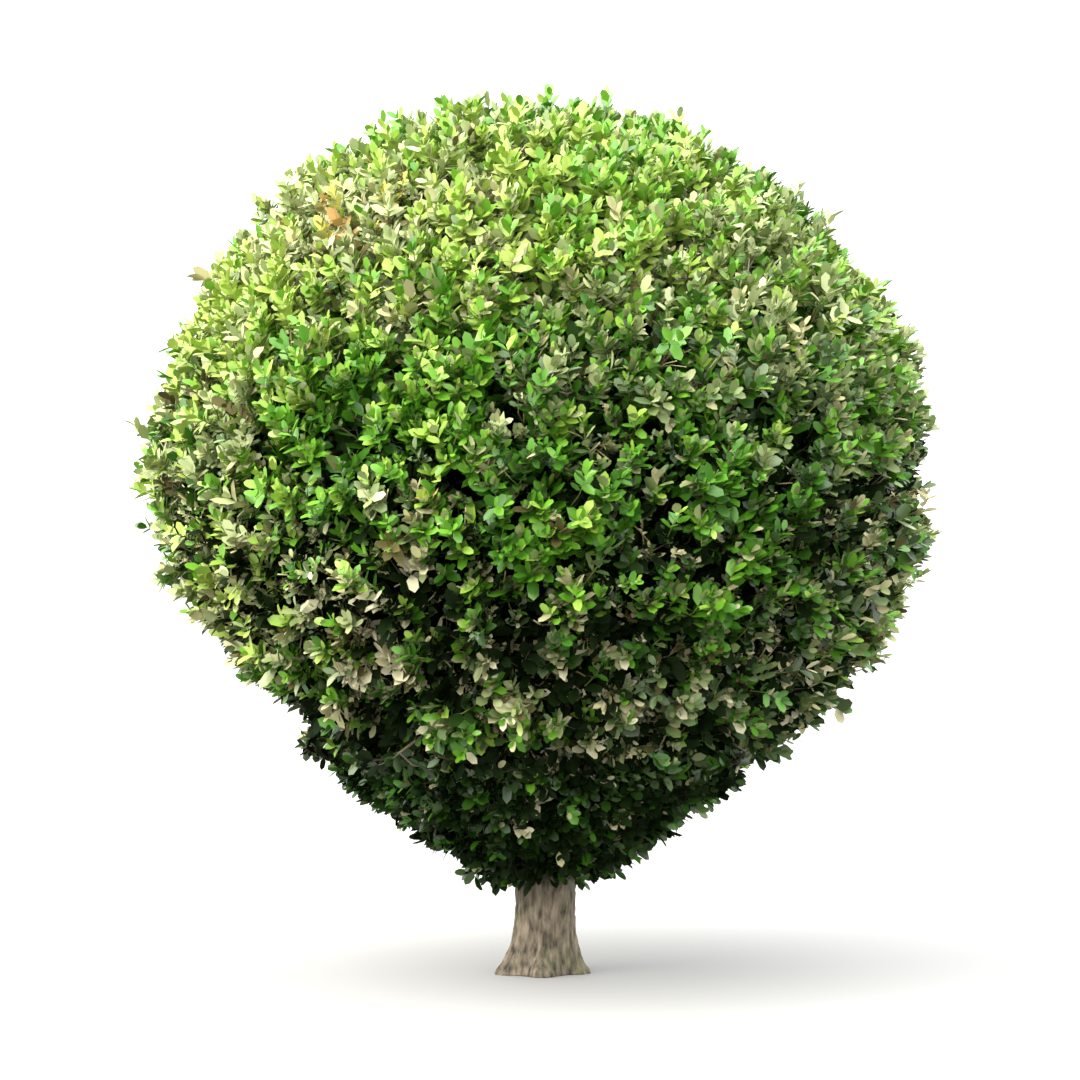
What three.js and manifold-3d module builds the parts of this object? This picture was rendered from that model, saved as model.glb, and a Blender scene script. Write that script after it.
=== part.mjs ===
import * as THREE from 'three';
import { mergeVertices } from 'three/addons/utils/BufferGeometryUtils.js';
import { ImprovedNoise } from 'three/addons/math/ImprovedNoise.js';
import Module from 'manifold-3d';

// A box bush clipped to a ball, on its own short stem. Millimetres, +Z is up and -Y is the front.
// The flat foot of the stem stands on the ground at the origin.

// Crown: round above its widest line, shallower below it, and clipped flatter at the low left.
const CROWN_RADIUS = 494;
const CROWN_WIDEST_HEIGHT = 595;
const CROWN_UNDER_DEPTH = 412;
const CROWN_UNDER_FULLNESS = 1.72;
const CROWN_SWELL = 14;
const CROWN_SWELL_LENGTH = 260;
const CROWN_SWELL_SEED = 3.7;
const CROWN_TUFT = 19;
const CROWN_TUFT_LENGTH = 62;
const CROWN_TUFT_SEED = 11.3;
const CROWN_DETAIL = 13;
const CROWN_FLAT_DEPTH = 26;
const CROWN_FLAT_WIDTH = 0.4;
const CROWN_FLAT_TOWARDS = new THREE.Vector3(-1, -0.25, -0.68).normalize();

// Foot foliage: the loose low growth that narrows from the ball's underside down to the stem.
const FOOT_BOTTOM_HEIGHT = 108;
const FOOT_TOP_HEIGHT = 290;
const FOOT_BOTTOM_RADIUS = 78;
const FOOT_RIM_HEIGHT = 250;
const FOOT_RIM_RADIUS = 262;
const FOOT_HOLLOWING = 1.08;
const FOOT_SWELL = 12;
const FOOT_SWELL_LENGTH = 70;
const FOOT_SWELL_SEED = 5.1;
const FOOT_HEM_SEED = 8.9;
const FOOT_RINGS = 8;
const FOOT_SIDES = 34;

// Stem: a short leg with a root flare, up to the head that the boughs fork from.
const STEM_HEIGHT = 168;
const STEM_RADIUS = 36;
const STEM_HEAD_RADIUS = 42;
const STEM_FLARE = 27;
const STEM_FLARE_HEIGHT = 26;
const STEM_FLARE_LOBES = 5;
const STEM_LOBE_TURN = 1.1;
const STEM_LOBE_DEPTH = 0.28;
const STEM_OVALNESS = 0.12;
const STEM_FLUTES = 3;
const STEM_FLUTE_DEPTH = 1.6;
const STEM_FLUTE_TWIST_LENGTH = 40;
const STEM_TOP_SHARE = 0.84;
const STEM_HEAD_POWER = 4;
const STEM_RING_POWER = 1.25;
const STEM_LEAN = 12;
const STEM_LEAN_FORWARD = 4;
const STEM_RINGS = 11;
const STEM_SIDES = 24;

// Boughs: a leader and a ring of limbs that spread from the head into the ball.
// A bough's bends are shares of its way out, its turn and its rise, and the leader's are
// steps to the right, steps back and a share of its rise.
const BOUGH_COUNT = 7;
const BOUGH_BASE_RADIUS = 16.5;
const BOUGH_TAPER = 0.68;
const BOUGH_THINNING = 0.1;
const BOUGH_SPREAD = 176;
const BOUGH_SPREAD_CHANGE = 0.12;
const BOUGH_RISE = 182;
const BOUGH_RISE_CHANGE = 0.09;
const BOUGH_FIRST_ANGLE = 0.35;
const BOUGH_WANDER = 0.16;
const BOUGH_LEAN_SHARE = 0.8;
const BOUGH_SEAT_RADIUS = 20;
const BOUGH_SEAT_HEIGHT = 132;
const BOUGH_SEAT_STEP = 13;
const LEADER_BASE_RADIUS = 19;
const LEADER_RISE = 126;
const LEADER_SINK = 14;
const BOUGH_BENDS = [
  [0, 0, 0],
  [0.3, 0.35, 0.2],
  [0.65, 0.8, 0.56],
  [1, 1, 1],
];
const LEADER_BENDS = [
  [6, 2, 0.3],
  [-3, 13, 0.65],
  [10, 18, 1],
];
const BOUGH_STEPS = 7;
const BOUGH_SIDES = 10;

// Neighbouring pieces lie this far apart.
const CLEARANCE = 0.35;

const wasm = await Module();
wasm.setup();
const noise = new ImprovedNoise();

// Soft lumps from -1 to 1 that vary over the given length.
function lumps(point, length, offset) {
  return noise.noise(point.x / length + offset, point.y / length - offset, point.z / length + 2 * offset);
}

// Closed skin over level or tilted rings of points, each ring running anticlockwise seen from its far end.
function skinOver(rings) {
  const sides = rings[0].length;
  const positions = [];
  const faces = [];
  for (const ring of rings) {
    for (const point of ring) {
      positions.push(point.x, point.y, point.z);
    }
  }
  for (let row = 0; row + 1 < rings.length; row += 1) {
    for (let side = 0; side < sides; side += 1) {
      const next = (side + 1) % sides;
      const low = row * sides;
      const high = low + sides;
      faces.push(low + side, low + next, high + next);
      faces.push(low + side, high + next, high + side);
    }
  }
  for (const [ring, first, turned] of [
    [rings[0], 0, true],
    [rings[rings.length - 1], (rings.length - 1) * sides, false],
  ]) {
    const centre = new THREE.Vector3();
    for (const point of ring) {
      centre.addScaledVector(point, 1 / sides);
    }
    const middle = positions.length / 3;
    positions.push(centre.x, centre.y, centre.z);
    for (let side = 0; side < sides; side += 1) {
      const here = first + side;
      const next = first + ((side + 1) % sides);
      faces.push(middle, turned ? next : here, turned ? here : next);
    }
  }
  const geometry = new THREE.BufferGeometry();
  geometry.setAttribute('position', new THREE.Float32BufferAttribute(positions, 3));
  geometry.setIndex(faces);
  return geometry;
}

// Solid for joining and cutting, from a closed geometry.
function solidFrom(geometry) {
  const bare = geometry.clone();
  bare.deleteAttribute('normal');
  bare.deleteAttribute('uv');
  const merged = mergeVertices(bare, 0.001);
  return new wasm.Manifold(
    new wasm.Mesh({
      numProp: 3,
      vertProperties: new Float32Array(merged.attributes.position.array),
      triVerts: new Uint32Array(merged.index.array),
    }),
  );
}

// Geometry from a cut solid, with one flat normal for each face.
function geometryFrom(solid) {
  const cut = solid.getMesh();
  const indexed = new THREE.BufferGeometry();
  indexed.setAttribute('position', new THREE.Float32BufferAttribute(Array.from(cut.vertProperties), 3));
  indexed.setIndex(Array.from(cut.triVerts));
  const geometry = indexed.toNonIndexed();
  geometry.computeVertexNormals();
  return geometry;
}

// Point on the crown's surface in a unit direction from the middle of its widest line.
// Below that line the sides are straighter than an ellipse's, so the underside is nearly a cone.
function crownPoint(direction, grow) {
  const under = direction.z < 0;
  const fullness = under ? CROWN_UNDER_FULLNESS : 2;
  const depth = under ? CROWN_UNDER_DEPTH : CROWN_RADIUS;
  const level = Math.hypot(direction.x, direction.y);
  const sum = Math.pow(level, fullness) + Math.pow(Math.abs(direction.z), fullness);
  const reach = Math.pow(sum, -1 / fullness);
  const point = new THREE.Vector3(
    direction.x * CROWN_RADIUS * reach,
    direction.y * CROWN_RADIUS * reach,
    direction.z * depth * reach,
  );
  const swell = CROWN_SWELL * lumps(point, CROWN_SWELL_LENGTH, CROWN_SWELL_SEED);
  const tuft = CROWN_TUFT * lumps(point, CROWN_TUFT_LENGTH, CROWN_TUFT_SEED);
  const turn = direction.distanceTo(CROWN_FLAT_TOWARDS) / CROWN_FLAT_WIDTH;
  const flat = CROWN_FLAT_DEPTH * Math.exp(-turn * turn);
  point.addScaledVector(direction, swell + tuft - flat + grow);
  point.z += CROWN_WIDEST_HEIGHT;
  return point;
}

function crownGeometry(grow) {
  const geometry = new THREE.IcosahedronGeometry(1, CROWN_DETAIL);
  const places = geometry.attributes.position;
  const direction = new THREE.Vector3();
  for (let corner = 0; corner < places.count; corner += 1) {
    direction.fromBufferAttribute(places, corner).normalize();
    const point = crownPoint(direction, grow);
    places.setXYZ(corner, point.x, point.y, point.z);
  }
  return geometry;
}

// Radius of the foot foliage at a height: a hollow-sided cone that opens upward to its rim.
function footRadius(height) {
  const climb = Math.min((height - FOOT_BOTTOM_HEIGHT) / (FOOT_RIM_HEIGHT - FOOT_BOTTOM_HEIGHT), 1);
  return FOOT_BOTTOM_RADIUS + (FOOT_RIM_RADIUS - FOOT_BOTTOM_RADIUS) * Math.pow(climb, FOOT_HOLLOWING);
}

function footGeometry() {
  const rings = [];
  for (let row = 0; row < FOOT_RINGS; row += 1) {
    const share = row / (FOOT_RINGS - 1);
    const height = FOOT_BOTTOM_HEIGHT + (FOOT_TOP_HEIGHT - FOOT_BOTTOM_HEIGHT) * share;
    const ring = [];
    for (let side = 0; side < FOOT_SIDES; side += 1) {
      const angle = (side / FOOT_SIDES) * 2 * Math.PI;
      const plain = footRadius(height);
      const point = new THREE.Vector3(Math.cos(angle) * plain, Math.sin(angle) * plain, height);
      const radius = plain + FOOT_SWELL * lumps(point, FOOT_SWELL_LENGTH, FOOT_SWELL_SEED);
      const ripple = row === 0 ? FOOT_SWELL * lumps(point, FOOT_SWELL_LENGTH, FOOT_HEM_SEED) : 0;
      ring.push(new THREE.Vector3(Math.cos(angle) * radius, Math.sin(angle) * radius, height + ripple));
    }
    rings.push(ring);
  }
  return skinOver(rings);
}

// The stem's level sections: flared and lobed at the ground, swelling again to the head.
function stemGeometry(grow) {
  const rings = [];
  for (let row = 0; row < STEM_RINGS; row += 1) {
    const share = row / (STEM_RINGS - 1);
    const height = STEM_HEIGHT * Math.pow(share, STEM_RING_POWER) + (row === STEM_RINGS - 1 ? grow : 0);
    const flare = Math.exp(-height / STEM_FLARE_HEIGHT);
    const head = Math.pow(share, STEM_HEAD_POWER) * (STEM_HEAD_RADIUS - STEM_RADIUS);
    const dome = row === STEM_RINGS - 1 ? STEM_TOP_SHARE : 1;
    const ring = [];
    for (let side = 0; side < STEM_SIDES; side += 1) {
      const angle = (side / STEM_SIDES) * 2 * Math.PI;
      const lobe = 1 - STEM_LOBE_DEPTH * (1 - Math.cos(STEM_FLARE_LOBES * angle + STEM_LOBE_TURN));
      const oval = STEM_OVALNESS * Math.cos(2 * angle);
      const twist = height / STEM_FLUTE_TWIST_LENGTH;
      const flute = STEM_FLUTE_DEPTH * Math.cos(STEM_FLUTES * angle + twist);
      const radius = (STEM_RADIUS + head + flute + STEM_FLARE * flare * (lobe + oval)) * dome + grow;
      ring.push(
        new THREE.Vector3(
          Math.cos(angle) * radius + STEM_LEAN * share,
          Math.sin(angle) * radius - STEM_LEAN_FORWARD * share,
          height,
        ),
      );
    }
    rings.push(ring);
  }
  return skinOver(rings);
}

// One tapering limb of round sections along a curve.
function limbGeometry(curve, baseRadius, grow) {
  const frames = curve.computeFrenetFrames(BOUGH_STEPS, false);
  const rings = [];
  for (let row = 0; row <= BOUGH_STEPS; row += 1) {
    const share = row / BOUGH_STEPS;
    const centre = curve.getPointAt(share);
    if (row === 0) {
      centre.addScaledVector(frames.tangents[row], -grow);
    }
    if (row === BOUGH_STEPS) {
      centre.addScaledVector(frames.tangents[row], grow);
    }
    const radius = baseRadius * (1 - (1 - BOUGH_TAPER) * share) + grow;
    const ring = [];
    for (let side = 0; side < BOUGH_SIDES; side += 1) {
      const angle = (side / BOUGH_SIDES) * 2 * Math.PI;
      const point = centre.clone();
      point.addScaledVector(frames.normals[row], Math.cos(angle) * radius);
      point.addScaledVector(frames.binormals[row], Math.sin(angle) * radius);
      ring.push(point);
    }
    rings.push(ring);
  }
  return skinOver(rings);
}

// A limb's middle line: out of the stem's head, then bending upward into the ball.
function boughCurve(index) {
  const head = new THREE.Vector3(STEM_LEAN, -STEM_LEAN_FORWARD, STEM_HEIGHT);
  const points = [];
  if (index === 0) {
    points.push(new THREE.Vector3(head.x, head.y, head.z - LEADER_SINK));
    for (const [right, back, lift] of LEADER_BENDS) {
      points.push(new THREE.Vector3(head.x + right, head.y + back, head.z + lift * LEADER_RISE));
    }
    return new THREE.CatmullRomCurve3(points);
  }
  const around = BOUGH_COUNT - 1;
  const wander = BOUGH_WANDER * Math.sin(2.3 * index);
  const angle = ((index - 1) / around) * 2 * Math.PI + BOUGH_FIRST_ANGLE;
  const spread = BOUGH_SPREAD * (1 + BOUGH_SPREAD_CHANGE * Math.cos(1.7 * index));
  const rise = BOUGH_RISE * (1 + BOUGH_RISE_CHANGE * Math.sin(2.9 * index));
  const seat = BOUGH_SEAT_HEIGHT + BOUGH_SEAT_STEP * (index % 2);
  for (const [share, bend, lift] of BOUGH_BENDS) {
    const radius = BOUGH_SEAT_RADIUS + (spread - BOUGH_SEAT_RADIUS) * share;
    const turned = angle + wander * bend;
    points.push(
      new THREE.Vector3(
        Math.cos(turned) * radius + head.x * BOUGH_LEAN_SHARE,
        Math.sin(turned) * radius,
        seat + rise * lift,
      ),
    );
  }
  return new THREE.CatmullRomCurve3(points);
}

function boughGeometry(index, grow) {
  const thinned = BOUGH_BASE_RADIUS * (1 - BOUGH_THINNING * (index % 3));
  const baseRadius = index === 0 ? LEADER_BASE_RADIUS : thinned;
  return limbGeometry(boughCurve(index), baseRadius, grow);
}

const bark = { roughness: 0.9, metalness: 0 };
const leaf = { roughness: 0.75, metalness: 0 };

const bush = new THREE.Group();

function addPiece(name, geometry, look) {
  const piece = new THREE.Mesh(geometry, new THREE.MeshStandardMaterial(look));
  piece.name = name;
  bush.add(piece);
}

// Stem
addPiece('stem', geometryFrom(solidFrom(stemGeometry(0))), { color: 0x6b6152, ...bark });
const stemRoom = solidFrom(stemGeometry(CLEARANCE));

// Boughs, each seated on the head of the stem, and the room they take in the foliage
let limbRoom = stemRoom;
for (let index = 0; index < BOUGH_COUNT; index += 1) {
  const bough = solidFrom(boughGeometry(index, 0)).subtract(stemRoom);
  const name = index === 0 ? 'bough_leader' : `bough_${index}`;
  addPiece(name, geometryFrom(bough), { color: 0x7a6e5c, ...bark });
  limbRoom = limbRoom.add(solidFrom(boughGeometry(index, CLEARANCE)));
}

// Crown, hollowed where the boughs enter it
const crown = solidFrom(crownGeometry(0)).subtract(limbRoom);
addPiece('crown_foliage', geometryFrom(crown), { color: 0x5f7f35, ...leaf });

// Foot foliage, under the ball and round the stem and boughs
const foot = solidFrom(footGeometry()).subtract(solidFrom(crownGeometry(CLEARANCE))).subtract(limbRoom);
addPiece('foot_foliage', geometryFrom(foot), { color: 0x2c4520, ...leaf });

export default bush;
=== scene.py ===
import math

import bpy
import numpy as np
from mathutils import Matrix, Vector
from mathutils.bvhtree import BVHTree
from mathutils.kdtree import KDTree


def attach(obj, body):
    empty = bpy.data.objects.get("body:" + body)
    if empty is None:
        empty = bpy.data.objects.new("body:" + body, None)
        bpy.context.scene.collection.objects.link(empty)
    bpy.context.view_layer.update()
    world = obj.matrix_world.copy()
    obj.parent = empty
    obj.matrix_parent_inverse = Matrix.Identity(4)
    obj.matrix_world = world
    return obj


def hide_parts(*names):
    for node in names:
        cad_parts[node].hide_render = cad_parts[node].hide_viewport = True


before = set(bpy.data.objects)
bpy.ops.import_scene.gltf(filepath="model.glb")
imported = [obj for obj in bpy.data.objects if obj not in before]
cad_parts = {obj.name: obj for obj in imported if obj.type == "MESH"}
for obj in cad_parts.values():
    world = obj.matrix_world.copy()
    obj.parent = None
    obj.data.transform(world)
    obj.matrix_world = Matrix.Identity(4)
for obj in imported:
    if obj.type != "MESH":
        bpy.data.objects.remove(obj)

# A box bush clipped to a ball. Metres, +Z up, and -Y is the front.
# The same random numbers are drawn on every run.
RANDOM_SEED = 41
rng = np.random.default_rng(RANDOM_SEED)
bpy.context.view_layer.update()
scene = bpy.context.scene


def put_in_scene(name, data):
    """A new object that shows a mesh, a light or a camera."""
    thing = bpy.data.objects.new(name, data)
    scene.collection.objects.link(thing)
    return thing


# Camera: about level with the widest line of the ball, straight at its front
CAMERA_DISTANCE = 4.4
CAMERA_HEIGHT = 0.62
CAMERA_AIM_HEIGHT = 0.545
FRAME_HEIGHT = 1.36
SENSOR = 36.0

camera_data = bpy.data.cameras.new("camera")
camera_data.sensor_width = SENSOR
camera_data.lens = SENSOR * CAMERA_DISTANCE / FRAME_HEIGHT
camera = put_in_scene("camera", camera_data)
camera.location = (0, -CAMERA_DISTANCE, CAMERA_HEIGHT)
camera_way = Vector((0, 0, CAMERA_AIM_HEIGHT)) - camera.location
camera.rotation_euler = camera_way.to_track_quat("-Z", "Y").to_euler()
scene.camera = camera

# Ball
WIDEST_HEIGHT = 0.595
BALL_RADIUS = 0.494
BALL_MIDDLE = np.array([0.0, 0.0, WIDEST_HEIGHT])
CORE = np.array([0.0, 0.0, 0.46])
SHOOT_CENTRE = np.array([0.0, 0.0, 0.54])
UP = np.array([0.0, 0.0, 1.0])


# Small helpers
def unit(vectors):
    return vectors / np.maximum(np.linalg.norm(vectors, axis=-1, keepdims=True), 1e-9)


def ramp(values, start, end):
    """0 at the start and before it, 1 at the end and past it, and even in between."""
    return np.clip((values - start) / (end - start), 0, 1)


def aimed(ways, wander, rise=0.0):
    """Unit ways, turned up a little and each nudged at random."""
    return unit(ways + rise * UP + rng.normal(0, wander, ways.shape))


def drawn(shape, mean, spread, least, most):
    """Random values round a mean, held between two limits."""
    return np.clip(rng.normal(mean, spread, shape), least, most)


def high_on_ball(points):
    """Height above the ball's widest line, in radii of the ball."""
    return (points[:, 2] - WIDEST_HEIGHT) / BALL_RADIUS


# Whole numbers that mix a cell's place and the seed
PLACE_MIX = (73856093, 19349663, 83492791)
SEED_MIX = 2654435761
STIRS = ((15, 2246822519), (13, 3266489917))
LAST_STIR = 16
MASK = 0x7FFFFFFF
CELLS = 1024
NOISE_SHIFT = 100.0
NOISE_GAIN = 2.6


def soft_noise(points, length, seed):
    """Smooth noise from -1 to 1 that varies over the given length."""
    scaled = points / length + NOISE_SHIFT
    cell = np.floor(scaled).astype(np.int64)
    part = scaled - cell
    part = part * part * (3 - 2 * part)
    total = np.zeros(len(points))
    for corner in range(8):
        step = np.array([corner & 1, corner >> 1 & 1, corner >> 2 & 1])
        x, y, z = ((cell + step) % CELLS).T
        mixed = x * PLACE_MIX[0] ^ y * PLACE_MIX[1] ^ z * PLACE_MIX[2]
        mixed = (mixed ^ seed * SEED_MIX) & MASK
        for bits, factor in STIRS:
            mixed = (mixed ^ (mixed >> bits)) * factor & MASK
        value = (mixed ^ (mixed >> LAST_STIR)) / MASK
        weight = np.where(step == 1, part, 1 - part).prod(axis=1)
        total += weight * value
    return np.clip((total - 0.5) * NOISE_GAIN, -1, 1)


GOLDEN_ANGLE = math.pi * (3 - math.sqrt(5))
# The gap between neighbours on a unit sphere is this over the root of their count
SPHERE_GAP = 3.5


def even_directions(count, jitter):
    """Unit directions spread evenly all round, each nudged by a share of the gap between them."""
    index = np.arange(count) + 0.5
    height = 1 - 2 * index / count
    turn = index * GOLDEN_ANGLE
    flat = np.sqrt(1 - height**2)
    places = np.stack([flat * np.cos(turn), flat * np.sin(turn), height], axis=1)
    return aimed(places, jitter * SPHERE_GAP / math.sqrt(count))


# The CAD masses give the outline that the tips reach
def skin_of(node):
    return BVHTree.FromObject(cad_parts[node], bpy.context.evaluated_depsgraph_get())


def cast(skin, starts, directions):
    """Where rays from outside first meet a skin. A miss stays at its start."""
    places = starts.copy()
    found = np.zeros(len(starts), bool)
    for row, (start, direction) in enumerate(zip(starts, directions)):
        place = skin.ray_cast(Vector(start), Vector(direction))[0]
        if place is not None:
            places[row] = place
            found[row] = True
    return places, found


crown_skin = skin_of("crown_foliage")
foot_skin = skin_of("foot_foliage")


def crown_outline(directions):
    return cast(crown_skin, BALL_MIDDLE + 2 * BALL_RADIUS * directions, -directions)[0]


def nearest(places, seats):
    """The row of the nearest seat to each place."""
    finder = KDTree(len(seats))
    for row, seat in enumerate(seats):
        finder.insert(Vector(seat), row)
    finder.balance()
    return np.array([finder.find(Vector(place))[1] for place in places])


# Stem and boughs: the CAD's own sizes, in metres
STEM_TOP = np.array([0.012, -0.004, 0.168])
STEM_RADIUS = 0.036
STEM_HEAD_SWELL = 0.006
STEM_FLARE = 0.027
STEM_FLARE_HEIGHT = 0.026
BOUGH_COUNT = 7
BOUGH_SPREAD = 0.176
BOUGH_RISE = 0.182
BOUGH_FIRST_TURN = 0.35
# How much the boughs differ, and the step of the wave that they differ by
WANDER_CHANGE = (0.16, 2.3)
SPREAD_CHANGE = (0.12, 1.7)
RISE_CHANGE = (0.09, 2.9)
BOUGH_SEAT_RADIUS = 0.02
BOUGH_SEAT_HEIGHT = 0.132
BOUGH_SEAT_STEP = 0.013
BOUGH_RADIUS = 0.0165
BOUGH_THINNING = 0.1
BOUGH_TAPER = 0.68
# Shares of the spread, the wander and the rise that each bough has at its knots
BOUGH_BENDS = ((0, 0, 0), (0.3, 0.35, 0.2), (0.65, 0.8, 0.56), (1, 1, 1))
BOUGH_LEAN_SHARE = 0.8
LEADER_RADIUS = 0.019
LEADER_RISE = 0.126
LEADER_SINK = 0.014
# The leader's knots: to the right, to the back, and share of the rise
LEADER_BENDS = ((0.006, 0.002, 0.3), (-0.003, 0.013, 0.65), (0.01, 0.018, 1))
BOUGH_POINTS = 14


def catmull(knots):
    """Points along a smooth curve through a few knots."""
    knots = np.array(knots)
    padded = np.vstack([2 * knots[0] - knots[1], knots, 2 * knots[-1] - knots[-2]])
    spans = len(knots) - 1
    places = []
    for share in np.linspace(0, spans, BOUGH_POINTS):
        span = min(int(share), spans - 1)
        t = share - span
        a, b, c, d = padded[span:span + 4]
        second = (2 * a - 5 * b + 4 * c - d) * t**2
        third = (3 * b - a - 3 * c + d) * t**3
        places.append(0.5 * (2 * b + (c - a) * t + second + third))
    return np.array(places)


def bough_line(index):
    """A bough's middle line: out of the stem's head, then bending upward into the ball."""
    if index == 0:
        knots = [STEM_TOP - LEADER_SINK * UP]
        for right, back, lift in LEADER_BENDS:
            knots.append(STEM_TOP + np.array([right, back, lift * LEADER_RISE]))
        return catmull(knots)
    wander = WANDER_CHANGE[0] * math.sin(WANDER_CHANGE[1] * index)
    angle = (index - 1) / (BOUGH_COUNT - 1) * 2 * math.pi + BOUGH_FIRST_TURN
    spread = BOUGH_SPREAD * (1 + SPREAD_CHANGE[0] * math.cos(SPREAD_CHANGE[1] * index))
    rise = BOUGH_RISE * (1 + RISE_CHANGE[0] * math.sin(RISE_CHANGE[1] * index))
    seat = BOUGH_SEAT_HEIGHT + BOUGH_SEAT_STEP * (index % 2)
    knots = []
    for share, bend, lift in BOUGH_BENDS:
        radius = BOUGH_SEAT_RADIUS + (spread - BOUGH_SEAT_RADIUS) * share
        turned = angle + wander * bend
        across = math.cos(turned) * radius + STEM_TOP[0] * BOUGH_LEAN_SHARE
        knots.append((across, math.sin(turned) * radius, seat + rise * lift))
    return catmull(knots)


boughs = np.array([bough_line(index) for index in range(BOUGH_COUNT)])

# Branching: how many tips each order has, and how far out from the core they reach
INNER_ORDERS = (
    # count, reach, least share of the parent's length, how far back it forks in radii of the
    # ball, points on a curve
    (36, 0.44, 0.9, 0.17, 9),
    (170, 0.68, 0.35, 0.17, 8),
    (850, 0.85, 0.3, 0.08, 6),
    (3300, 0.925, 0.25, 0.08, 4),
)
TIP_JITTER = 0.28
REACH_CHANGE = (1, 0.05, 0.85, 1.03)
TIP_WANDER = 0.22
TIP_RISE = 0.3
LEAVING = 0.34
ARRIVING = 0.38
BRANCH_BEND = 0.05


def curve_between(starts, start_ways, ends, end_ways, count):
    """Cubic curves that leave along one way and arrive along another."""
    span = np.linalg.norm(ends - starts, axis=1, keepdims=True)
    first = starts + start_ways * span * LEAVING
    second = ends - end_ways * span * ARRIVING
    t = np.linspace(0, 1, count)[None, :, None]
    return (
        (1 - t) ** 3 * starts[:, None]
        + 3 * (1 - t) ** 2 * t * first[:, None]
        + 3 * (1 - t) * t**2 * second[:, None]
        + t**3 * ends[:, None]
    )


def grow(parents, tips, outs, wander, rise, least_share, back, count):
    """One branch to each tip, from the parents' point nearest to a place back from the tip."""
    tip_ways = aimed(outs, wander, rise)
    total, length = parents.shape[:2]
    first = int(least_share * (length - 1))
    ways = unit(np.gradient(parents, axis=1))
    rows, columns = np.meshgrid(np.arange(total), np.arange(first, length), indexing="ij")
    rows = rows.ravel()
    columns = columns.ravel()
    seats = parents[rows, columns]
    chosen = nearest(tips - tip_ways * back, seats)
    owner = rows[chosen]
    curves = curve_between(seats[chosen], ways[owner, columns[chosen]], tips, tip_ways, count)
    return curves, owner


def bent(curves):
    """Curves bent a little to one side between their ends."""
    side = rng.normal(0, 1, (len(curves), 1, 3))
    swing = np.sin(np.linspace(0, math.pi, curves.shape[1]))[None, :, None]
    span = np.linalg.norm(curves[:, -1] - curves[:, 0], axis=1)[:, None, None]
    return curves + side * swing * span * BRANCH_BEND


orders = [boughs]
owners = []
for count, reach, least_share, back, points in INNER_ORDERS:
    twig_outline = crown_outline(even_directions(count, TIP_JITTER))
    tips = CORE + (twig_outline - CORE) * reach * drawn((count, 1), *REACH_CHANGE)
    growth = (TIP_WANDER, TIP_RISE, least_share, back * BALL_RADIUS, points)
    curves, owner = grow(orders[-1], tips, unit(twig_outline - CORE), *growth)
    orders.append(bent(curves))
    owners.append(owner)
twigs = orders[-1]

# Hollows: places where a few sprays are missing and the dark inside shows
HOLLOWS = (
    # across, height, radius, on the front of the ball
    (-0.128, 0.452, 0.03), (-0.118, 0.405, 0.026), (-0.02, 0.428, 0.024), (-0.185, 0.33, 0.034),
    (-0.105, 0.36, 0.022), (0.165, 0.405, 0.02), (0.19, 0.32, 0.026), (0.245, 0.455, 0.016),
    (0.04, 0.325, 0.02), (-0.33, 0.47, 0.018), (0.02, 0.61, 0.014), (-0.21, 0.56, 0.018),
)
# Where the low left edge is so thin that one sees through it
THIN_PLACES = ((-0.292, 0.335, 0.026), (-0.262, 0.318, 0.018))
HOLLOW_RIM = 1.35
# Everywhere else they come by noise, and more of them low on the ball
HOLLOWS_START = WIDEST_HEIGHT + 0.08
HOLLOWS_FULL = HOLLOWS_START - 0.25
WIDE_HOLLOW_NOISE = (0.055, 5)
WIDE_HOLLOW_GAIN = 2.2
WIDE_HOLLOW_RARITY = 1.4
WIDE_HOLLOWS_LOW = 0.3
SMALL_HOLLOW_NOISE = (0.022, 6)
SMALL_HOLLOW_GAIN = 2.0
SMALL_HOLLOW_RARITY = 0.95
SMALL_HOLLOW_DEPTH = 0.7


def gaps_from(place, points):
    """Distances from a place on the front, in radii of that place."""
    across, height, radius = place
    return np.hypot(points[:, 0] - across, points[:, 2] - height) / radius


def in_hollows(points):
    """How deep a point is in a hollow, from 0 at its rim to 1 in its middle."""
    low = ramp(points[:, 2], HOLLOWS_START, HOLLOWS_FULL)
    wide = WIDE_HOLLOW_GAIN * soft_noise(points, *WIDE_HOLLOW_NOISE) - WIDE_HOLLOW_RARITY
    wide = np.clip(wide + WIDE_HOLLOWS_LOW * low, 0, 1)
    small = SMALL_HOLLOW_GAIN * soft_noise(points, *SMALL_HOLLOW_NOISE) - SMALL_HOLLOW_RARITY
    depth = np.maximum(wide, low * np.clip(small, 0, SMALL_HOLLOW_DEPTH))
    in_front = points[:, 1] < 0
    for place in HOLLOWS:
        depth = np.maximum(depth, np.where(in_front, HOLLOW_RIM - gaps_from(place, points), 0))
    for place in THIN_PLACES:
        depth = np.maximum(depth, HOLLOW_RIM - gaps_from(place, points))
    return np.clip(depth, 0, 1)


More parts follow.
